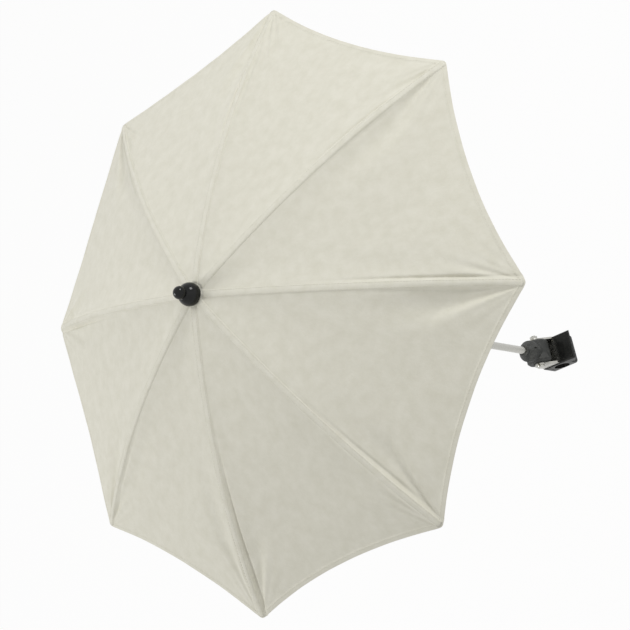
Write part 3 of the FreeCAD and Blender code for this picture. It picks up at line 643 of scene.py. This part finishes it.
# Finial
# A black knob on a domed flange, moulded in one and screwed down on the canopy's middle.
# It is lacquered to a deep gloss, and a little dust lies on it.
LACQUER_COLOUR = (0.005, 0.0055, 0.005, 1)
LACQUER_DUSTY = (0.02, 0.0205, 0.02, 1)
black_lacquer, tree, shader = start_material(
    "black lacquer", Specular_IOR_Level=0.12, Coat_Weight=0.25, Coat_Roughness=0.03)
skin = use_group(tree, moulded_skin, object_place(tree), Grain=0.002, Cloud=0.008, Dust=0.08)
tree.links.new(blend_colours(tree, skin["Rubbed"], LACQUER_COLOUR, LACQUER_DUSTY), shader["Base Color"])
tree.links.new(calculate(tree, "ADD", skin["Gloss"], 0.13), shader["Roughness"])
set_bump(tree, shader, skin["Height"], 0.0001, 0.08)
dress(("finial",), black_lacquer)

# Floor and light
# A wide white floor lies as far below the clamp as a pram's frame stands above the ground.
# Two soft lamps and an even sky light the canopy, and both floor and sky are white to the eye.
# From below the floor is clear, so that the frame under the canopy can be seen.
FLOOR_DEPTH = 0.75
FLOOR_SIZE = 60.0
FLOOR_COLOUR = (0.9, 0.9, 0.9, 1)
FLOOR_SEEN_WHITE = 0.92
WHITE = (1, 1, 1, 1)
SKY_COLOUR = (1.0, 0.99, 0.97, 1)
SKY_STRENGTH = 0.555
LAMP_SIZE = 0.9
LAMP_REACH = 2.6
LAMPS = {"front lamp": ((0.72, 0.58, 0.40), 28.5), "back lamp": ((-0.82, -0.12, 0.58), 22.0)}


def seen_directly(tree):
    rays = put(tree, "ShaderNodeLightPath").outputs
    seen = calculate(tree, "MAXIMUM", rays["Is Camera Ray"], rays["Is Glossy Ray"])
    return calculate(tree, "MAXIMUM", seen, rays["Is Transmission Ray"])


floor_mesh = bpy.data.meshes.new("floor")
half = FLOOR_SIZE / 2
floor_corners = [(x * half, y * half, -FLOOR_DEPTH) for x, y in ((-1, -1), (1, -1), (1, 1), (-1, 1))]
floor_mesh.from_pydata(floor_corners, [], [(0, 1, 2, 3)])
floor = bpy.data.objects.new("floor", floor_mesh)
bpy.context.scene.collection.objects.link(floor)
floor_white, tree, shader = start_material("floor white", Base_Color=FLOOR_COLOUR, Roughness=0.9)
glow = put(tree, "ShaderNodeEmission", {"Color": WHITE, "Strength": 1.0})
seen_share = calculate(tree, "MULTIPLY", seen_directly(tree), FLOOR_SEEN_WHITE)
floor_shader = tree.nodes["Principled BSDF"].outputs[0]
both = put(tree, "ShaderNodeMixShader", {0: seen_share, 1: floor_shader, 2: glow.outputs[0]})
from_below = put(tree, "ShaderNodeNewGeometry").outputs["Backfacing"]
clear = put(tree, "ShaderNodeBsdfTransparent")
one_sided = put(tree, "ShaderNodeMixShader", {0: from_below, 1: both.outputs[0], 2: clear.outputs[0]})
tree.links.new(one_sided.outputs[0], tree.nodes["Material Output"].inputs["Surface"])
floor_mesh.materials.append(floor_white)

sky = bpy.data.worlds.new("sky")
sky.use_nodes = True
tree = sky.node_tree
ambient = put(tree, "ShaderNodeBackground", {"Color": SKY_COLOUR, "Strength": SKY_STRENGTH})
white = put(tree, "ShaderNodeBackground", {"Color": WHITE, "Strength": 1.0})
both = put(tree, "ShaderNodeMixShader",
           {0: seen_directly(tree), 1: ambient.outputs[0], 2: white.outputs[0]})
tree.links.new(both.outputs[0], tree.nodes["World Output"].inputs["Surface"])
bpy.context.scene.world = sky

canopy_centre = Vector((shaft_x, shaft_y, rim_height))
for name, (direction, power) in LAMPS.items():
    lamp_data = bpy.data.lights.new(name, "AREA")
    lamp_data.energy = power
    lamp_data.size = LAMP_SIZE
    lamp = bpy.data.objects.new(name, lamp_data)
    lamp.location = canopy_centre + LAMP_REACH * Vector(direction).normalized()
    lamp.rotation_euler = (lamp.location - canopy_centre).to_track_quat("Z", "Y").to_euler()
    bpy.context.scene.collection.objects.link(lamp)

# Camera
# The viewpoint is above and beside the canopy, and the picture is turned so that the shaft lies across it.
# Its place is measured from the middle of the rim.
CAMERA_PLACE = Vector((1.2122, -0.6547, 1.5190))
CAMERA_TURN = (8.136, 40.012, -15.858)
CAMERA_LENS = 103.15
camera_data = bpy.data.cameras.new("camera")
camera_data.lens = CAMERA_LENS
camera_data.sensor_width = 36.0
camera = bpy.data.objects.new("camera", camera_data)
camera.location = canopy_centre + CAMERA_PLACE
camera.rotation_euler = [math.radians(angle) for angle in CAMERA_TURN]
bpy.context.scene.collection.objects.link(camera)
bpy.context.scene.camera = camera
bpy.context.scene.view_settings.view_transform = "Standard"
